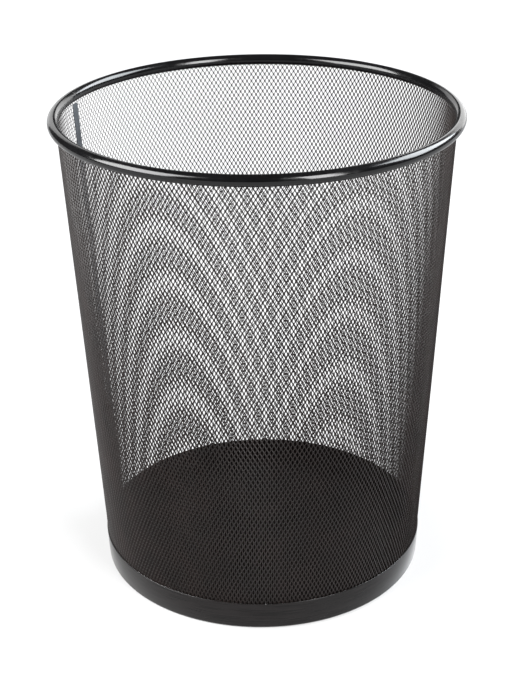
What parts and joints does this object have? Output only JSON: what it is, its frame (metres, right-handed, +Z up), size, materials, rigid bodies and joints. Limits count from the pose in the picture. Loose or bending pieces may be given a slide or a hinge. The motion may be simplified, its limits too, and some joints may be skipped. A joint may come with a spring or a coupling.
{
  "type": "wastebasket",
  "caption": "Round tapered office wastebasket with an expanded-steel mesh wall, a rolled tubular rim, a solid base band and a pressed floor.",
  "frame": {"origin": "on the floor, at the centre of the base's underside", "axes": "+Z up along the basket's axis; +X to the right seen from the front, +Y away from the front; the seam is at the back left"},
  "size_m": [0.2928, 0.2928, 0.3554],
  "materials": {
    "mesh_paint": "satin",
    "strip_paint": "satin",
    "rim_paint": "gloss",
    "bare_wire": "satin",
    "pan_paint": "satin",
    "band_paint": "semi-gloss"
  },
  "bodies": {
    "root": {"mesh_wall": "mesh_paint", "seam_strip": "strip_paint", "seam_welds": "strip_paint", "rim_bead": "rim_paint", "rim_joint_weld": "rim_paint", "rim_hoop_wire": "bare_wire", "base_pan": "pan_paint", "base_band": "band_paint", "base_welds": "pan_paint"}
  },
  "joints": []
}
